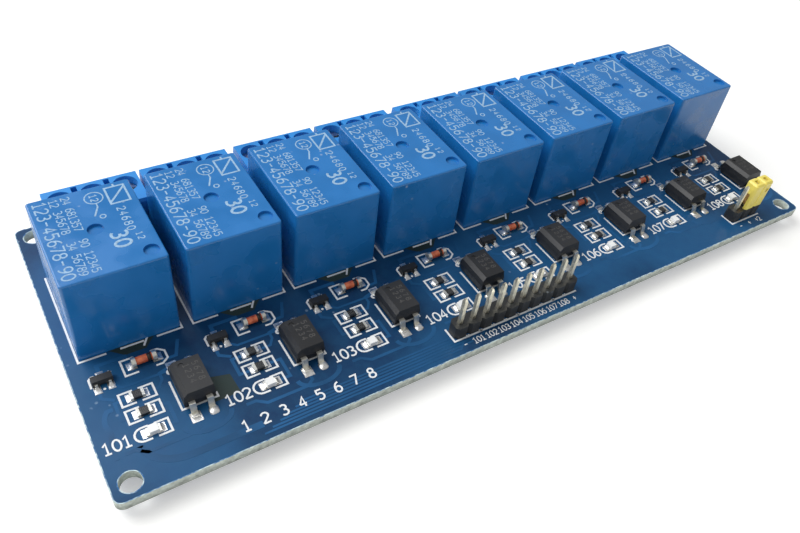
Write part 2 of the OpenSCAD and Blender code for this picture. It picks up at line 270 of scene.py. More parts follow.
def slab(outline, low, high):
    """A thin plate over a convex outline of four corners."""
    outline = np.asarray(outline, float)
    ring = np.empty((2, 4, 3))
    ring[:, :, :2] = outline
    ring[0, :, 2] = low
    ring[1, :, 2] = high
    quads = grid_quads(2, 4, wrap_columns=True)
    caps = np.array([[3, 2, 1, 0], [4, 5, 6, 7]])
    return ring.reshape(-1, 3), np.concatenate([quads, caps])


def repeated(shape, centres, scales, turns=0.0):
    """Copies of a shape made of closed rings, with both end rings drawn in to a point. Each
    copy is scaled by its own factors, turned by its own angle about Z and moved to its
    centre."""
    unit, rows, columns = shape
    quads = grid_quads(rows, columns, wrap_columns=True)
    closing = np.stack([unit[:columns].mean(0), unit[-columns:].mean(0)])
    unit = np.concatenate([unit, closing])
    ring = np.arange(columns)
    after = (ring + 1) % columns
    last = (rows - 1) * columns
    fans = np.concatenate([np.stack([after, ring, np.full(columns, rows * columns)], 1),
                           np.stack([last + ring, last + after,
                                     np.full(columns, rows * columns + 1)], 1)])
    centres, scales = np.asarray(centres, float), np.asarray(scales, float)
    angle = np.broadcast_to(turns, len(centres))[:, None]
    x, y, z = np.moveaxis(unit[None] * scales[:, None], 2, 0)
    turned = np.stack([x * np.cos(angle) - y * np.sin(angle),
                       x * np.sin(angle) + y * np.cos(angle), z], -1)
    points = (turned + centres[:, None]).reshape(-1, 3)
    shift = (np.arange(len(centres)) * len(unit))[:, None, None]
    return points, (quads[None] + shift).reshape(-1, 4), (fans[None] + shift).reshape(-1, 3)


def piece(name, points, quads, material, triangles=None, smooth=False):
    """Makes a mesh object at the origin, in the row frame, that rides on the board."""
    faces = quads.tolist() + (triangles.tolist() if triangles is not None else [])
    mesh = bpy.data.meshes.new(name)
    mesh.from_pydata(points.tolist(), [], faces)
    mesh.polygons.foreach_set("use_smooth", np.full(len(mesh.polygons), smooth))
    mesh.update()
    mesh.materials.append(material)
    thing = bpy.data.objects.new(name, mesh)
    bpy.context.scene.collection.objects.link(thing)
    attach(thing, "root")
    return thing


# Materials


class Nodes:
    """Short names for adding and linking nodes in one tree."""

    def __init__(self, tree):
        self.tree = tree

    def add(self, kind, **values):
        node = self.tree.nodes.new(kind)
        for key, value in values.items():
            setattr(node, key, value)
        return node

    def link(self, output, socket):
        self.tree.links.new(output, socket)

    def noise(self, place, scale, detail=3.0, roughness=0.5):
        node = self.add("ShaderNodeTexNoise")
        node.inputs["Scale"].default_value = scale
        node.inputs["Detail"].default_value = detail
        node.inputs["Roughness"].default_value = roughness
        self.link(place, node.inputs["Vector"])
        return node.outputs["Fac"]

    def ramp(self, value, low, high):
        """0 below low, 1 above high and straight between."""
        node = self.add("ShaderNodeMapRange")
        node.inputs["From Min"].default_value = low
        node.inputs["From Max"].default_value = high
        self.link(value, node.inputs["Value"])
        return node.outputs["Result"]

    def mix(self, factor, first, second):
        node = self.add("ShaderNodeMix", data_type="RGBA")
        for value, socket in ((factor, node.inputs[0]), (first, node.inputs[6]),
                              (second, node.inputs[7])):
            self.put(value, socket)
        return node.outputs[2]

    def math(self, operation, first, second):
        node = self.add("ShaderNodeMath", operation=operation)
        self.put(first, node.inputs[0])
        self.put(second, node.inputs[1])
        return node.outputs[0]

    def put(self, value, socket):
        if isinstance(value, bpy.types.NodeSocket):
            self.link(value, socket)
        elif isinstance(value, (int, float)):
            socket.default_value = value
        else:
            socket.default_value = (*value[:3], 1.0)


def new_group(name, inputs, outputs):
    """An empty shader node group. inputs gives each number's name and default, and outputs
    each output's name and type."""
    tree = bpy.data.node_groups.new(name, "ShaderNodeTree")
    for label, default in inputs.items():
        socket = tree.interface.new_socket(label, in_out="INPUT", socket_type="NodeSocketFloat")
        socket.default_value = default
    for label, kind in outputs.items():
        tree.interface.new_socket(label, in_out="OUTPUT", socket_type=kind)
    nodes = Nodes(tree)
    return tree, nodes, nodes.add("NodeGroupInput"), nodes.add("NodeGroupOutput")


def moulded_group():
    """Fine grain, slow cloudiness and a few bright specks of dust, as on moulded plastic.
    Grain is the height for a bump, Clouds and Dust are masks."""
    tree, nodes, given, result = new_group(
        "moulded surface", {"Grain Scale": 4000.0, "Cloud Scale": 90.0, "Dust": 0.5},
        {"Grain": "NodeSocketFloat", "Clouds": "NodeSocketFloat", "Dust": "NodeSocketFloat"})
    place = nodes.add("ShaderNodeTexCoord").outputs["Object"]
    grain = nodes.add("ShaderNodeTexNoise")
    nodes.link(place, grain.inputs["Vector"])
    nodes.link(given.outputs["Grain Scale"], grain.inputs["Scale"])
    nodes.link(grain.outputs["Fac"], result.inputs["Grain"])
    clouds = nodes.add("ShaderNodeTexNoise")
    nodes.link(place, clouds.inputs["Vector"])
    nodes.link(given.outputs["Cloud Scale"], clouds.inputs["Scale"])
    nodes.link(nodes.ramp(clouds.outputs["Fac"], 0.35, 0.65), result.inputs["Clouds"])
    cells = nodes.add("ShaderNodeTexVoronoi", feature="F1")
    cells.inputs["Scale"].default_value = 520.0
    nodes.link(place, cells.inputs["Vector"])
    near = nodes.ramp(cells.outputs["Distance"], 0.16, 0.08)
    patches = nodes.ramp(nodes.noise(place, 150.0), 0.6, 0.7)
    nodes.link(nodes.math("MULTIPLY", nodes.math("MULTIPLY", near, patches),
                          given.outputs["Dust"]), result.inputs["Dust"])
    return tree


def worn_metal_group():
    """Smears and fine scratches of tinned or plated metal, as a height and a mask."""
    tree, nodes, given, result = new_group(
        "worn metal", {"Smear Scale": 900.0},
        {"Height": "NodeSocketFloat", "Smears": "NodeSocketFloat"})
    place = nodes.add("ShaderNodeTexCoord").outputs["Object"]
    smears = nodes.add("ShaderNodeTexNoise")
    smears.inputs["Detail"].default_value = 5.0
    nodes.link(place, smears.inputs["Vector"])
    nodes.link(given.outputs["Smear Scale"], smears.inputs["Scale"])
    nodes.link(smears.outputs["Fac"], result.inputs["Height"])
    nodes.link(nodes.ramp(smears.outputs["Fac"], 0.35, 0.7), result.inputs["Smears"])
    return tree


GROUPS = {}


def group(nodes, maker):
    """Places a shared group in a material, and builds it the first time."""
    if maker.__name__ not in GROUPS:
        GROUPS[maker.__name__] = maker()
    return nodes.add("ShaderNodeGroup", node_tree=GROUPS[maker.__name__])


def new_material(name):
    """A node material, its Nodes and its Principled BSDF."""
    material = bpy.data.materials.new(name)
    material.use_nodes = True
    nodes = Nodes(material.node_tree)
    return material, nodes, material.node_tree.nodes["Principled BSDF"]


def bump(nodes, shader, height, distance, strength=0.5):
    """Raises a shader's surface by a height that changes over it."""
    node = nodes.add("ShaderNodeBump")
    node.inputs["Distance"].default_value = distance
    node.inputs["Strength"].default_value = strength
    nodes.link(height, node.inputs["Height"])
    nodes.link(node.outputs["Normal"], shader.inputs["Normal"])


def scaled(value, factor):
    """A colour made lighter or darker."""
    return tuple(min(1.0, channel * factor) for channel in value)


def plastic(name, base, rough=0.35, dust=0.4, grain=0.01, cloud=0.25, patch=0.12,
            patch_scale=90.0, specular=0.5, dust_colour=(0.6, 0.7, 0.8)):
    """Moulded plastic: cloudy colour, dust specks, fine grain, and patches rougher by the
    patch value."""
    material, nodes, shader = new_material(name)
    shader.inputs["Specular IOR Level"].default_value = specular
    surface = group(nodes, moulded_group)
    surface.inputs["Dust"].default_value = dust
    surface.inputs["Cloud Scale"].default_value = patch_scale
    body = nodes.mix(surface.outputs["Clouds"], scaled(base, 1 - cloud), scaled(base, 1 + cloud))
    nodes.link(nodes.mix(surface.outputs["Dust"], body, dust_colour), shader.inputs["Base Color"])
    gloss = nodes.math("MULTIPLY_ADD", surface.outputs["Clouds"], patch)
    gloss.node.inputs[2].default_value = rough
    nodes.link(gloss, shader.inputs["Roughness"])
    bump(nodes, shader, surface.outputs["Grain"], grain * MM)
    return material


def metal(name, base, rough=0.3, smear=900.0, depth=0.01):
    """Tinned or plated metal with smears in colour and gloss and a slightly uneven skin."""
    material, nodes, shader = new_material(name)
    shader.inputs["Metallic"].default_value = 1.0
    surface = group(nodes, worn_metal_group)
    surface.inputs["Smear Scale"].default_value = smear
    nodes.link(nodes.mix(surface.outputs["Smears"], scaled(base, 0.72), scaled(base, 1.1)),
               shader.inputs["Base Color"])
    gloss = nodes.math("MULTIPLY_ADD", surface.outputs["Smears"], -0.14)
    gloss.node.inputs[2].default_value = rough + 0.1
    nodes.link(gloss, shader.inputs["Roughness"])
    bump(nodes, shader, surface.outputs["Height"], depth * MM)
    return material


def ink(name, base, rough=0.5, gaps=0.25):
    """Printing ink with an uneven cover."""
    material, nodes, shader = new_material(name)
    place = nodes.add("ShaderNodeTexCoord").outputs["Object"]
    cover = nodes.ramp(nodes.noise(place, 2600.0), 0.3, 0.6)
    nodes.link(nodes.mix(cover, scaled(base, 1 - gaps), base), shader.inputs["Base Color"])
    shader.inputs["Roughness"].default_value = rough
    bump(nodes, shader, nodes.noise(place, 5000.0), 0.006 * MM)
    return material


def board_material(colours):
    """Lacquer on the two faces and bare laminate on every cut edge, told apart by how far the
    surface's normal leans from upright. The lacquer is deeper between the copper areas, and
    the laminate has painted shade towards the underside and a painted highlight at the top."""
    material, nodes, shader = new_material("lacquered board")
    shader.inputs["Specular IOR Level"].default_value = 0.25
    coordinates = nodes.add("ShaderNodeTexCoord")
    place = coordinates.outputs["Object"]
    lean = nodes.add("ShaderNodeSeparateXYZ")
    nodes.link(coordinates.outputs["Normal"], lean.inputs[0])
    face = nodes.ramp(nodes.math("ABSOLUTE", lean.outputs["Z"], 0.0), 0.45, 0.55)
    surface = group(nodes, moulded_group)
    surface.inputs["Dust"].default_value = 0.75
    pour = nodes.ramp(nodes.noise(place, 34.0, 2.0), 0.44, 0.56)
    lacquer = nodes.mix(pour, colours.mask_deep, colours.mask)
    mottle = nodes.ramp(nodes.noise(place, 520.0, 5.0, 0.65), 0.3, 0.75)
    lacquer = nodes.mix(nodes.math("MULTIPLY", mottle, 0.22), lacquer, (0.02, 0.15, 0.3))
    dusty = nodes.mix(surface.outputs["Dust"], lacquer, (0.4, 0.55, 0.7))
    level = nodes.add("ShaderNodeSeparateXYZ")
    nodes.link(place, level.inputs[0])
    # Painted highlight and shade: by height, the cut edge runs from a lit pale laminate colour at
    # its top arris to a shaded dark one at the underside, mixed with the fibres' own tone.
    rise = nodes.ramp(level.outputs["Z"], BOARD_LOW.z, BOARD_HIGH.z)
    fibres = nodes.ramp(nodes.noise(place, 1100.0, 5.0, 0.7), 0.32, 0.68)
    fibres_and_painted_light = nodes.math("MULTIPLY", nodes.math("ADD", fibres, rise), 0.5)
    edge = nodes.mix(fibres_and_painted_light, scaled(colours.laminate, 0.3), scaled(colours.laminate, 1.35))
    nodes.link(nodes.mix(face, edge, dusty), shader.inputs["Base Color"])
    gloss = nodes.math("MULTIPLY_ADD", face, -0.45)
    gloss.node.inputs[2].default_value = 0.8
    uneven = nodes.math("MULTIPLY_ADD", surface.outputs["Clouds"], 0.12)
    nodes.link(gloss, uneven.node.inputs[2])
    nodes.link(uneven, shader.inputs["Roughness"])
    bump(nodes, shader, nodes.math("ADD", nodes.noise(place, 700.0, 4.0), fibres), 0.02 * MM, 0.3)
    return material


def rim_and_highlight_material(colours):
    """Pale frayed laminate that the lacquer covers here and there, and along the board's top arris
    also a painted highlight.
    """
    material, nodes, shader = new_material("frayed rim and painted highlight")
    place = nodes.add("ShaderNodeTexCoord").outputs["Object"]
    cover = nodes.ramp(nodes.noise(place, 900.0, 4.0, 0.6), 0.38, 0.6)
    nodes.link(nodes.mix(cover, scaled(colours.mask, 1.8), colours.rim),
               shader.inputs["Base Color"])
    nodes.link(nodes.ramp(cover, 1.6, -0.6), shader.inputs["Roughness"])
    bump(nodes, shader, nodes.noise(place, 2500.0), 0.02 * MM)
    return material


def glass_material(base):
    """A red-brown die and slug under clear glass: a glossy coat over an uneven body."""
    material, nodes, shader = new_material("diode glass")
    place = nodes.add("ShaderNodeTexCoord").outputs["Object"]
    glow = nodes.ramp(nodes.noise(place, 900.0), 0.3, 0.7)
    nodes.link(nodes.mix(glow, scaled(base, 0.6), (0.95, 0.25, 0.1)), shader.inputs["Base Color"])
    shader.inputs["Roughness"].default_value = 0.12
    shader.inputs["Coat Weight"].default_value = 0.6
    shader.inputs["Coat Roughness"].default_value = 0.05
    return material


def dress(names, material):
    """Gives a material to CAD nodes."""
    for name in names:
        slots = NODES[name].data.materials
        slots.clear()
        slots.append(material)


def numbered(name):
    """The names of a piece's nodes in all channels."""
    return [f"{name}_{k}" for k in CHANNELS]


# Places on the board, in millimetres from its front left corner


def on_board(points):
    """Moves points given in millimetres from the board's front left corner to the frame."""
    corner = np.array([BOARD_LOW.x, BOARD_LOW.y])
    return np.asarray(points, float) * MM + corner


def in_channel(k, points):
    """The same, for points of the first channel repeated in channel k."""
    return on_board(points) + np.array([(k - 1) * PITCH, 0])


def bow(x, y, across, up, start, end, steps=9):
    """Points of an oval from one angle to another, in degrees."""
    a = np.radians(np.linspace(start, end, steps))
    return list(zip(x + across * np.cos(a), y + up * np.sin(a)))


def ring(x, y, radius, steps=25):
    """A circle that ends at its first point."""
    return bow(x, y, radius, radius, 0, 360, steps)


DIGITS = {
    "0": [bow(0.5, 0.5, 0.5, 0.5, 90, 450, 17)],
    "1": [[(0.1, 0.78), (0.5, 1), (0.5, 0)], [(0.1, 0), (0.9, 0)]],
    "2": [[*bow(0.5, 0.72, 0.5, 0.28, 165, -25), (0, 0)], [(0, 0), (1, 0)]],
    "3": [bow(0.45, 0.76, 0.45, 0.24, 140, -90), bow(0.45, 0.27, 0.52, 0.27, 90, -140)],
    "4": [[(0.72, 0), (0.72, 1), (0, 0.3)], [(0, 0.3), (1, 0.3)]],
    "5": [[(0.9, 1), (0.12, 1), (0.06, 0.56)],
          [(0.06, 0.56), *bow(0.45, 0.33, 0.52, 0.33, 120, -140)]],
    "6": [bow(0.5, 0.3, 0.46, 0.3, 0, 360, 17), bow(0.85, 0.3, 0.81, 0.7, 90, 180, 7)],
    "7": [[(0, 1), (1, 1), (0.35, 0)]],
    "8": [bow(0.5, 0.76, 0.4, 0.24, 0, 360, 15), bow(0.5, 0.27, 0.5, 0.27, 0, 360, 15)],
    "9": [bow(0.5, 0.7, 0.46, 0.3, 0, 360, 17), bow(0.15, 0.7, 0.81, 0.7, -90, 0, 7)],
    "+": [[(0.5, 0.15), (0.5, 0.85)], [(0.1, 0.5), (0.9, 0.5)]],
    "-": [[(0.1, 0.5), (0.9, 0.5)]],
}


def text_paths(text, origin, height, advance, width=0.6, turned=False):
    """Strokes of a line of digits. turned runs the line towards -Y with its top at +X."""
    paths = []
    for place, letter in enumerate(text):
        for stroke in DIGITS.get(letter, []):
            along = np.array([x * width * height + place * advance for x, _ in stroke])
            up = np.array([y * height for _, y in stroke])
            if turned:
                paths.append(np.stack([origin[0] + up, origin[1] - along], 1))
            else:
                paths.append(np.stack([origin[0] + along, origin[1] + up], 1))
    return paths


# Printing and tracks, as paths in millimetres from the board's front left corner. The lists
# named for a channel hold the first channel's, and every channel repeats them.


def chip_brackets(y):
    """The two brackets printed round a resistor that lies at height y."""
    return [[(7.1, y + 1.1), (5.15, y + 1.1), (5.15, y - 1.1), (7.1, y - 1.1)],
            [(7.9, y + 1.1), (9.9, y + 1.1), (9.9, y - 1.1), (7.9, y - 1.1)]]


CHANNEL_PRINT = [
    # outline of the relay, and the mark of its coil
    [(1.94, 42.4), (1.94, 23.8), (5.9, 23.8)],
    [(7.9, 23.8), (11.4, 23.8)],
    [(13.3, 23.8), (17.19, 23.8), (17.19, 42.4)],
    [(12.2, 24.6), (11.1, 22.9)],
    # diode
    [(9.0, 21.5), (7.1, 21.5), (7.1, 18.65), (9.0, 18.65)],
    [(11.5, 21.5), (12.5, 21.5), (13.4, 20.8), (13.4, 19.35), (12.5, 18.65), (11.5, 18.65)],
    # transistor
    [(2.35, 18.6), (2.35, 20.2), (2.75, 20.55), (3.2, 20.55)],
    [(5.1, 20.6), (5.5, 20.3)],
    # light
    [(7.2, 9.5), *bow(6.2, 8.4, 1.1, 1.1, 90, 270), (7.2, 7.3)],
    [(8.0, 9.5), (9.9, 9.5), (9.9, 7.3), (8.0, 7.3)],
    # optocoupler
    [(12.1, 15.1), (12.1, 9.75), (17.3, 9.75), (17.3, 10.6)],
    ring(12.75, 16.7, 0.35, 13)[:10],
    *chip_brackets(11.8),
    *chip_brackets(14.85),
]
CHANNEL_DOTS = [(3.95, 17.85), (12.75, 10.5)]
PIN_PITCH = 2.54
INPUT_PIN_X = 54.82
SUPPLY_PIN_X = 121.6
PIN_Y = 4.2
HEADER_PRINT = [
    [(53.45, 5.5), (53.45, 2.72), (79.0, 2.72)],
    [(120.3, 5.5), (120.3, 2.65), (128.1, 2.65)],
    *[[(x - 0.3, 3.0), (x, 2.72), (x + 0.3, 3.0)]
      for x in (56.1 + PIN_PITCH * i for i in range(9))],
]
CHANNEL_TRACKS = [
    ([(13.4, 7.7), (13.4, 6.4), (12.4, 5.6), (6.0, 5.6), (4.6, 6.6), (3.2, 6.6)], 0.5),
    ([(6.0, 11.8), (4.4, 11.8), (4.4, 14.85), (6.0, 14.85)], 0.5),
    ([(9.2, 8.4), (10.8, 8.4), (10.8, 11.8), (9.2, 11.8)], 0.5),
    ([(9.2, 14.85), (10.6, 14.85), (11.4, 16.0), (11.4, 17.2), (12.9, 17.6)], 0.4),
    ([(3.05, 17.9), (3.05, 16.4), (4.6, 15.4)], 0.5),
    ([(5.0, 18.0), (6.2, 17.0), (15.9, 17.0)], 0.4),
    ([(4.0, 20.6), (4.0, 22.2), (8.0, 22.2), (8.0, 20.6)], 0.6),
    ([(12.4, 19.2), (14.6, 19.2), (15.8, 22.0)], 0.5),
    (bow(14.7, 7.0, 3.4, 1.9, 180, 360, 15), 0.7),
]
CORNER_TRACKS = [
    ([(5.4, 6.9), *bow(11.2, 6.9, 5.8, 4.2, 180, 270), (21.0, 2.7)], 1.1),
    ([(3.9, 14.0), *bow(7.9, 12.0, 5.6, 4.0, 150, 200), (2.1, 8.2), (2.1, 6.2)], 0.7),
]
HEADER_TRACKS = [
    ([(20.5 + 1.4 * i, 1.1 + 0.52 * i), (53.6 + PIN_PITCH * i, 1.1 + 0.52 * i),
      (INPUT_PIN_X + PIN_PITCH * i, 2.3 + 0.52 * i), (INPUT_PIN_X + PIN_PITCH * i, PIN_Y)], 0.32)
    for i in range(6)
]
CHANNEL_TRACKS_BELOW = [
    ([(3.65, 28.4), (3.65, 34.0)], 1.0),
    ([(15.65, 28.4), (15.65, 36.0)], 1.0),
    ([(3.65, 40.6), (3.65, 44.0), (6.0, 44.8)], 2.2),
    ([(9.65, 26.4), (9.65, 42.0), (11.0, 44.8)], 2.2),
    ([(15.65, 40.6), (15.65, 43.0), (16.0, 44.8)], 2.2),
]
HEADER_TRACKS_BELOW = [
    ([(8.0, 5.4 - 0.6 * i), (INPUT_PIN_X + PIN_PITCH * i, 5.4 - 0.6 * i),
      (INPUT_PIN_X + PIN_PITCH * i, PIN_Y)], 0.5)
    for i in range(1, 4)
]
BARE_STRIP = [(6.0, 24.4), (8.2, 22.4), (11.3, 22.4), (13.2, 24.4)]
BARE_PATCH = [(16.4, 9.0), (20.4, 9.0), (20.2, 12.6), (17.0, 13.4)]


# Pieces


def board_print(colours, sizes):
    """White outlines, numbers and pin marks printed on the board."""
    lines = []

    def draw(paths, width=sizes.ink_line, place=on_board):
        lines.extend((place(path), width) for path in paths)

    for k in CHANNELS:
        def here(points, k=k):
            return in_channel(k, points)

        draw(CHANNEL_PRINT, place=here)
        draw([ring(x, y, 0.1, 9) for x, y in CHANNEL_DOTS], 0.19 * MM, here)
        draw(text_paths(f"10{k}", (0.9, 7.5), 1.75, 1.32), sizes.text_line, here)
        low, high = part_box(f"terminal_block_{k}")
        edge = 0.25 * MM
        back, left, right = high.y + edge, low.x - edge, high.x + edge
        lines.append(([(left, back - 2 * MM), (left, back), (right, back), (right, back - 2 * MM)],
                      sizes.ink_line))
    draw(text_paths("1 2 3 4 5 6 7 8", (18.3, 2.6), 1.7, 1.42), sizes.text_line)
    draw(HEADER_PRINT)
    for place, mark in enumerate(["-", *[f"10{k}" for k in CHANNELS], "+"]):
        start = INPUT_PIN_X + PIN_PITCH * place - 0.36 * len(mark)
        draw(text_paths(mark, (start, 1.0), 1.05, 0.76), sizes.fine_line)
    for place, mark in enumerate(["-", "+", "+2"]):
        start = SUPPLY_PIN_X + PIN_PITCH * place - 0.36 * len(mark)
        draw(text_paths(mark, (start, 0.95), 1.05, 0.76), sizes.fine_line)
    top = BOARD_HIGH.z + sizes.track_height + sizes.ink_height
    points, quads = strokes(lines, BOARD_HIGH.z - SEAT, top)
    return piece("board_printing", points, quads, ink("board ink", colours.ink, gaps=0.12))


def board_tracks(colours, sizes):
    """Raised tracks under the lacquer on both faces."""
    above = [(in_channel(k, path), width * MM) for k in CHANNELS for path, width in CHANNEL_TRACKS]
    above += [(on_board(path), width * MM) for path, width in CORNER_TRACKS + HEADER_TRACKS]
    below = [(in_channel(k, path), width * MM) for k in CHANNELS
             for path, width in CHANNEL_TRACKS_BELOW]
    below += [(on_board(path), width * MM) for path, width in HEADER_TRACKS_BELOW]
    underside = [ribbon(path, width, BOARD_LOW.z - sizes.track_height - (i % 3) * STAGGER,
                        BOARD_LOW.z + SEAT) for i, (path, width) in enumerate(below)]
    points, quads = joined([
        strokes(above, BOARD_HIGH.z - SEAT, BOARD_HIGH.z + sizes.track_height - SEAT),
        joined(underside)])
    return piece("covered_tracks", points, quads,
                 plastic("lacquer over copper", colours.track, rough=0.35, dust=0.5, specular=0.25))


def bare_strips(colours):
    """Thin plates of darker lacquer over the strips that have no copper."""
    low, high = BOARD_HIGH.z - SEAT, BOARD_HIGH.z + 0.008 * MM
    parts = [slab(in_channel(k, BARE_STRIP), low, high) for k in CHANNELS]
    parts.append(slab(on_board(BARE_PATCH), low, high))
    points, quads = joined(parts)
    return piece("bare_strips", points, quads,
                 plastic("lacquer over laminate", colours.mask_bare, rough=0.4, dust=0.3,
                         specular=0.25))


def cut_rims_and_highlight(colours, sizes):
    """The pale line where the lacquer ends, as a closed ribbon along the board's outline, whose
    corners are quarter circles, and one round each mounting hole. Round the holes it is bare
    laminate; along the outline it is bare laminate and a painted highlight on the top arris."""
    inset = sizes.rim_line / 2
    radius = BOARD_CORNER - inset
    reach_x, reach_y = BOARD_HIGH.x - BOARD_CORNER, BOARD_HIGH.y - BOARD_CORNER
    outline = []
    for x, y, start in ((1, -1, -90), (1, 1, 0), (-1, 1, 90), (-1, -1, 180)):
        outline += bow(x * reach_x, y * reach_y, radius, radius, start, start + 90, 7)
    # Along the outline this pale ribbon is bare laminate and a painted highlight on the top arris.
    lines = [(outline + outline[:1], sizes.rim_line)]
    middle_x, middle_y = HOLES["spacing_x_mm"] * MM / 2, HOLES["spacing_y_mm"] * MM / 2
    for x in (-middle_x, middle_x):
        for y in (-middle_y, middle_y):
            lines.append((ring(x, y, HOLES["hole_r_mm"] * MM + inset, 33), sizes.rim_line))
    points, quads = strokes(lines, BOARD_HIGH.z - SEAT, BOARD_HIGH.z + 0.006 * MM)
    return piece("cut_rims_and_highlight", points, quads, rim_and_highlight_material(colours))


RELAY_TEXT = [
    # text, place across and along the relay, height, step and line, in millimetres
    ("123-45678-90", -6.5, 8.4, 1.75, 1.42, 0.23),
    ("12 345678  34 56789", -4.3, 8.3, 1.15, 0.88, 0.15),
    ("24 681357  90 12345", -2.65, 8.3, 1.15, 0.88, 0.15),
    ("24680", 3.9, 3.2, 1.15, 1.15, 0.17),
    ("12", 4.7, -3.0, 0.9, 0.9, 0.15),
    ("30", 1.5, -1.7, 2.2, 1.9, 0.4),
    ("12", 1.1, 7.3, 1.0, 0.9, 0.17),
]
RELAY_DIAGRAM = [
    # coil
    ([(3.5, 8.1), (6.3, 8.1), (6.3, 4.3), (3.5, 4.3), (3.5, 8.1)], 0.3),
    ([(3.5, 4.6), (6.3, 7.8)], 0.3),
    ([(4.9, 8.1), (4.9, 8.7)], 0.3),
    # contact
    (ring(1.6, 6.6, 1.3), 0.18),
    ([(1.6, 5.3), (1.6, 4.5)], 0.2),
    ([(1.6, 4.5), (0.7, 2.6)], 0.25),
    (ring(1.7, 2.2, 0.4, 13), 0.18),
]


def relay_print(colours):
    """Pale numbers and a plain contact diagram on top of each relay."""
    paths = list(RELAY_DIAGRAM)
    for text, x, y, height, advance, line in RELAY_TEXT:
        paths += [(path, line) for path in text_paths(text, (x, y), height, advance, turned=True)]
    lines = []
    for k in CHANNELS:
        middle = np.array([RELAY_MIDDLE.x + (k - 1) * PITCH, RELAY_MIDDLE.y])
        lines += [(np.asarray(path) * MM + middle, line * MM) for path, line in paths]
    points, quads = strokes(lines, RELAY_HIGH.z - SEAT, RELAY_HIGH.z + 0.008 * MM)
    return piece("relay_printing", points, quads, ink("relay ink", colours.relay_ink, gaps=0.3))


def chip_marks(colours):
    """Faint numbers on the optocouplers and the resistors."""
    lines = []
    middle = (OPTO_LOW + OPTO_HIGH) / 2
    for k in CHANNELS:
        corner = np.array([middle.x + (k - 1) * PITCH, middle.y])
        for text, x in (("1234", -0.5), ("5678", 0.75)):
            lines += [(path * MM + corner, 0.13 * MM)
                      for path in text_paths(text, (x, 1.9), 0.85, 0.95, turned=True)]
    opto_marks = strokes(lines, OPTO_HIGH.z - SEAT, OPTO_HIGH.z + 0.006 * MM)
    lines = []
    for place, size in solid_middles("resistor_bodies"):
        top = place[2] + size[2] / 2
        lines += [(path * MM + place[:2], 0.09 * MM)
                  for path in text_paths("102", (-0.52, -0.35), 0.7, 0.38, width=0.4)]
    resistor_marks = strokes(lines, top - SEAT, top + 0.006 * MM)
    points, quads = joined([opto_marks, resistor_marks])
    return piece("chip_marks", points, quads, ink("chip marking", colours.chip_ink, rough=0.6))


def diode_bands():
    """A dark ring round one end of each diode's glass: a circle a little wider than the
    glass, carried along the diode and turned in at both ends."""
    columns = 24
    angle = np.linspace(0, 2 * math.pi, columns, endpoint=False)
    reach = np.array([(-0.32, 0.6), (-0.3, 1.0), (0.3, 1.0), (0.32, 0.6)])
    along, radius = reach[:, 0][:, None], reach[:, 1][:, None]
    unit = np.stack(np.broadcast_arrays(along, radius * np.cos(angle), radius * np.sin(angle)),
                    -1).reshape(-1, 3)
    solids = solid_middles("diode_glass")
    centres = [middle + np.array([size[0] / 2 - 0.45 * MM, 0, 0]) for middle, size in solids]
    scales = [(MM, size[2] / 2 + 0.015 * MM, size[2] / 2 + 0.015 * MM) for _, size in solids]
    points, quads, triangles = repeated((unit, len(reach), columns), centres, scales)
    return piece("diode_bands", points, quads, plastic("diode band", (0.02, 0.012, 0.01)),
                 triangles, smooth=True)


CHIP_ENDS = {
    # node: how far the solder reaches past the end, its half width and height, in millimetres
    "diode_caps": (0.75, 0.62, 0.8),
    "resistor_ends": (0.55, 0.6, 0.42),
    "led_ends": (0.6, 0.62, 0.4),
}


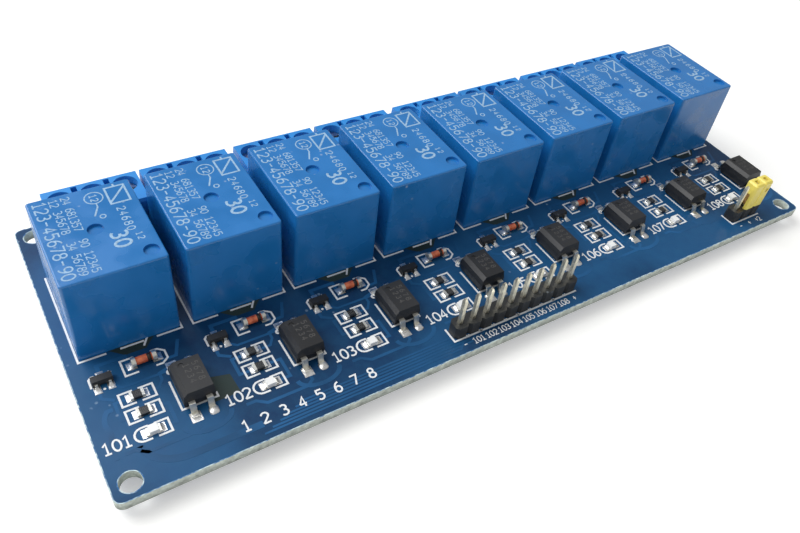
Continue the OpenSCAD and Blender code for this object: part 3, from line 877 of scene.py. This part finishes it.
def pad_solder(colours, sizes):
    """Tinned pads on the board's upper face, with the solder that climbs from them to the
    parts: a fillet at each chip end, transistor lead and left optocoupler lead, and a rounder
    mound under each right optocoupler lead."""
    seat = BOARD_HIGH.z - SEAT
    pads = []
    fillets = {0.0: [], 0.5: []}
    mounds = []
    uneven = np.random.default_rng(8)

    def put_fillet(x, y, turn, reach, half, height, flare=0.0):
        reach, half, height = np.array([reach, half, height]) * MM * uneven.uniform(0.88, 1.1, 3)
        fillets[flare].append(((x, y, seat), (reach, half, height), turn))

    def put_pad(x, y, half_x, half_y):
        corners = [(x - half_x * MM, y - half_y * MM), (x + half_x * MM, y - half_y * MM),
                   (x + half_x * MM, y + half_y * MM), (x - half_x * MM, y + half_y * MM)]
        pads.append(slab(corners, seat, BOARD_HIGH.z + sizes.pad_height))

    for node, (reach, half, height) in CHIP_ENDS.items():
        solids = solid_middles(node)
        for middle, size in solids:
            beside = min((m for m, _ in solids if abs(m[1] - middle[1]) < 0.1 * MM
                          and m is not middle), key=lambda m: abs(m[0] - middle[0]))
            away = 1 if middle[0] > beside[0] else -1
            inside = middle[0] + away * (size[0] / 2 - 0.2 * MM)
            put_fillet(inside, middle[1], 0 if away > 0 else math.pi, reach + 0.2, half, height)
            put_pad(inside + away * (reach / 2 - 0.1) * MM, middle[1], reach / 2 + 0.35, half + 0.1)
    for node, low, high in (("transistor_leads", TRANSISTOR_LOW, TRANSISTOR_HIGH),
                            ("opto_leads", OPTO_LOW, OPTO_HIGH)):
        opto = node == "opto_leads"
        for middle, size in solid_middles(node):
            away = 1 if middle[1] > (low.y + high.y) / 2 else -1
            tip = middle[1] + away * size[1] / 2
            column = (middle[0] - (low.x + high.x) / 2 + PITCH / 2) % PITCH - PITCH / 2
            if not opto:
                put_pad(middle[0], tip - away * 0.1 * MM, 0.5, 0.65)
                put_fillet(middle[0], tip - away * 0.35 * MM, away * math.pi / 2, 0.95, 0.55, 0.42,
                           0.5)
            elif column < 0:
                put_pad(middle[0], tip - away * 0.15 * MM, 0.78, 0.85)
                put_fillet(middle[0], tip - away * 0.3 * MM, away * math.pi / 2, 0.9, 0.62, 0.38)
            else:
                mounds.append(((middle[0], tip - away * 0.15 * MM, seat),
                               np.array([0.75, 0.8, 0.3]) * MM))
    points, quads = joined(pads)
    tin = metal("pad solder", colours.solder, 0.3, 1400.0, 0.03)
    piece("solder_pads", points, quads, tin)
    for name, flare in (("chip_fillets", 0.0), ("transistor_fillets", 0.5)):
        centres, scales, turns = zip(*fillets[flare])
        points, quads, triangles = repeated(fillet(flare), centres, scales, turns)
        piece(name, points, quads, tin, triangles, smooth=True)
    centres, scales = zip(*mounds)
    points, quads, triangles = repeated(mound(), centres, scales)
    return piece("solder_mounds", points, quads, tin, triangles, smooth=True)


def solder_cones(colours, sizes):
    """Solder round every tail under the board. The radius falls from the pad's edge to the
    tail as the square of the way still to go down the cone."""
    rows, columns = 9, 20
    down = np.linspace(1, 0, rows)
    radius = 0.42 + 0.58 * (1 - down) ** 2
    radius[0] = 0.25
    angle = np.linspace(0, 2 * math.pi, columns, endpoint=False)
    unit = np.stack([radius[:, None] * np.cos(angle), radius[:, None] * np.sin(angle),
                     -down[:, None] * np.ones(columns)], -1).reshape(-1, 3)
    centres, scales = [], []
    pads = {"relay_pins": 1.25, "terminal_pins": 1.35, "input_header_pins": 0.9,
            "jumper_header_pins": 0.9}
    for node, pad in pads.items():
        for middle, size in solid_middles(node):
            # a terminal's bent pin goes through the board at its front end
            bent = node == "terminal_pins"
            y = middle[1] - size[1] / 2 + 0.3 * MM if bent else middle[1]
            centres.append((middle[0], y, BOARD_LOW.z + SEAT))
            scales.append((pad * MM, pad * MM, sizes.joint_height))
    points, quads, triangles = repeated((unit, rows, columns), centres, scales)
    tin = metal("joint solder", colours.solder, 0.25, 1200.0, 0.03)
    return piece("solder_cones", points, quads, tin, triangles, smooth=True)


# Operators


class PieceOperator:
    """What every operator of this file shares."""

    bl_options = {"REGISTER", "UNDO"}

    def execute(self, context):
        scene = context.scene
        self.make(scene.relay_board_colours, scene.relay_board_sizes, scene.relay_board_stage)
        return {"FINISHED"}


class RELAYBOARD_OT_board(PieceOperator, bpy.types.Operator):
    """Finish the board, its covered tracks and its printing"""

    bl_idname = "relayboard.board"
    bl_label = "Board"

    def make(self, colours, sizes, stage):
        dress(["pcb"], board_material(colours))
        board_tracks(colours, sizes)
        bare_strips(colours)
        board_print(colours, sizes)
        cut_rims_and_highlight(colours, sizes)


class RELAYBOARD_OT_relays(PieceOperator, bpy.types.Operator):
    """Finish the relay cases and print on them"""

    bl_idname = "relayboard.relays"
    bl_label = "Relays"

    def make(self, colours, sizes, stage):
        dress(numbered("relay"), plastic("relay case", colours.relay, rough=0.16, dust=0.9,
                                         cloud=0.06, patch=0.2, patch_scale=210.0, specular=0.6))
        dress(["relay_pins"], metal("relay pin", colours.tin))
        relay_print(colours)


class RELAYBOARD_OT_terminals(PieceOperator, bpy.types.Operator):
    """Finish the screw terminals and what they hold"""

    bl_idname = "relayboard.terminals"
    bl_label = "Screw terminals"

    def make(self, colours, sizes, stage):
        dress(numbered("terminal_block"), plastic("terminal housing", colours.terminal, rough=0.4,
                                                  dust=0.2, cloud=0.08))
        dress(["terminal_screws"], metal("screw plating", colours.plated, 0.25))
        dress(["terminal_clamps"], metal("clamp plating", scaled(colours.plated, 0.8), 0.35))
        dress(["terminal_pins"], metal("terminal pin", colours.tin))


class RELAYBOARD_OT_small_parts(PieceOperator, bpy.types.Operator):
    """Finish the optocouplers, transistors, diodes, resistors and lights"""

    bl_idname = "relayboard.small_parts"
    bl_label = "Small parts"

    def make(self, colours, sizes, stage):
        mould = plastic("chip mould", colours.chip, rough=0.38, dust=0.15, grain=0.03)
        dress(numbered("optocoupler") + numbered("transistor"), mould)
        dress(["opto_leads", "transistor_leads", "diode_caps", "resistor_ends", "led_ends"],
              metal("tinned lead", colours.tin, 0.34, 1500.0))
        dress(["resistor_bodies"], plastic("resistor glaze", colours.black, rough=0.25, dust=0.1))
        resin = plastic("light resin", colours.light, rough=0.3, dust=0.0, cloud=0.02)
        dress(numbered("led"), resin)
        dress(["diode_glass"], glass_material(colours.glass))
        diode_bands()
        chip_marks(colours)


class RELAYBOARD_OT_headers(PieceOperator, bpy.types.Operator):
    """Finish the two pin headers and the shunt"""

    bl_idname = "relayboard.headers"
    bl_label = "Headers"

    def make(self, colours, sizes, stage):
        dress(["input_header_housing", "jumper_header_housing"],
              plastic("header housing", colours.black, rough=0.4, dust=0.35))
        dress(["input_header_pins", "jumper_header_pins"],
              metal("header pin", colours.header_pin, 0.36, 1200.0))
        dress(["jumper_cap"], plastic("shunt cap", colours.shunt, rough=0.3, dust=0.1, cloud=0.06))
        dress(["jumper_clip"], metal("shunt clip", colours.bronze, 0.35))


class RELAYBOARD_OT_solder(PieceOperator, bpy.types.Operator):
    """Add the solder on the pads and round the tails"""

    bl_idname = "relayboard.solder"
    bl_label = "Solder"

    def make(self, colours, sizes, stage):
        pad_solder(colours, sizes)
        solder_cones(colours, sizes)


KEY_PLACE = (-0.38, 0.42, 0.62)
KEY_WIDTH = 0.7
FILL_PLACE = (-0.5, -0.6, 0.5)
FILL_WIDTH = 0.8
FLOOR_REACH = 4.0
CAMERA_PLACE = (-0.070584, -0.078275, 0.09322)
CAMERA_RIGHT = (0.846661, -0.519981, 0.113073)
CAMERA_UP = (0.302465, 0.645078, 0.701704)


def lamp(name, place, aim, width, power):
    """A square soft lamp that faces a point."""
    light = bpy.data.lights.new(name, "AREA")
    light.size = width
    light.energy = power
    thing = bpy.data.objects.new(name, light)
    thing.location = place
    thing.rotation_euler = (Vector(aim) - Vector(place)).to_track_quat("-Z", "Y").to_euler()
    bpy.context.scene.collection.objects.link(thing)


def floor_material(base, glow):
    """A pale floor that a camera, a mirror or glass sees as near white, with its shadow."""
    material, nodes, shader = new_material("floor paper")
    shader.inputs["Base Color"].default_value = (*base, 1.0)
    shader.inputs["Roughness"].default_value = 0.9
    path = nodes.add("ShaderNodeLightPath")
    seen = nodes.math("MAXIMUM", path.outputs["Is Camera Ray"], path.outputs["Is Glossy Ray"])
    seen = nodes.math("MAXIMUM", seen, path.outputs["Is Transmission Ray"])
    shader.inputs["Emission Color"].default_value = (1.0, 1.0, 1.0, 1.0)
    nodes.link(nodes.math("MULTIPLY", seen, glow), shader.inputs["Emission Strength"])
    return material


class RELAYBOARD_OT_stage(PieceOperator, bpy.types.Operator):
    """Make the floor, the lamps, the even sky and the camera"""

    bl_idname = "relayboard.stage"
    bl_label = "Stage"

    def make(self, colours, sizes, stage):
        reach = FLOOR_REACH
        mesh = bpy.data.meshes.new("floor")
        corners = [(-reach, -reach, 0), (reach, -reach, 0), (reach, reach, 0), (-reach, reach, 0)]
        mesh.from_pydata(corners, [], [(0, 1, 2, 3)])
        mesh.materials.append(floor_material(stage.floor, stage.glow))
        floor = bpy.data.objects.new("floor", mesh)
        bpy.context.scene.collection.objects.link(floor)
        lamp("key_lamp", KEY_PLACE, (0, 0, 0), KEY_WIDTH, stage.key)
        lamp("fill_lamp", FILL_PLACE, (0, 0, 0), FILL_WIDTH, stage.fill)
        world = bpy.data.worlds.new("even sky")
        world.use_nodes = True
        background = world.node_tree.nodes["Background"]
        background.inputs["Color"].default_value = (1.0, 1.0, 1.0, 1.0)
        background.inputs["Strength"].default_value = stage.sky
        bpy.context.scene.world = world
        bpy.context.scene.view_settings.view_transform = "Standard"
        camera = bpy.data.objects.new("camera", bpy.data.cameras.new("camera"))
        camera.data.lens = stage.lens
        camera.data.sensor_width = 36.0
        camera.data.clip_start = 0.005
        right = Vector(CAMERA_RIGHT)
        up = Vector(CAMERA_UP)
        back = right.cross(up)
        turn = Matrix((right, up, back)).transposed().to_4x4()
        camera.matrix_world = Matrix.Translation(CAMERA_PLACE) @ turn
        bpy.context.scene.collection.objects.link(camera)
        bpy.context.scene.camera = camera


class RELAYBOARD_PT_panel(bpy.types.Panel):
    """Lists the pieces of the relay module"""

    bl_label = "Relay board"
    bl_idname = "RELAYBOARD_PT_panel"
    bl_space_type = "VIEW_3D"
    bl_region_type = "UI"
    bl_category = "Relay board"

    def draw(self, context):
        for operator in OPERATORS:
            self.layout.operator(operator.bl_idname)
        for name in PROPERTIES:
            values = getattr(context.scene, name)
            for field in values.__annotations__:
                self.layout.prop(values, field)


OPERATORS = [RELAYBOARD_OT_board, RELAYBOARD_OT_relays, RELAYBOARD_OT_terminals,
             RELAYBOARD_OT_small_parts, RELAYBOARD_OT_headers, RELAYBOARD_OT_solder,
             RELAYBOARD_OT_stage]
PROPERTIES = {"relay_board_colours": RelayBoardColours, "relay_board_sizes": RelayBoardSizes,
              "relay_board_stage": RelayBoardStage}
CLASSES = [*PROPERTIES.values(), *OPERATORS, RELAYBOARD_PT_panel]


def register():
    for item in CLASSES:
        bpy.utils.register_class(item)
    for name, group_class in PROPERTIES.items():
        setattr(bpy.types.Scene, name, PointerProperty(type=group_class))


def unregister():
    for name in PROPERTIES:
        delattr(bpy.types.Scene, name)
    for item in reversed(CLASSES):
        bpy.utils.unregister_class(item)


def main():
    register()
    bpy.ops.relayboard.board()
    bpy.ops.relayboard.relays()
    bpy.ops.relayboard.terminals()
    bpy.ops.relayboard.small_parts()
    bpy.ops.relayboard.headers()
    bpy.ops.relayboard.solder()
    bpy.ops.relayboard.stage()


if __name__ == "__main__":
    main()
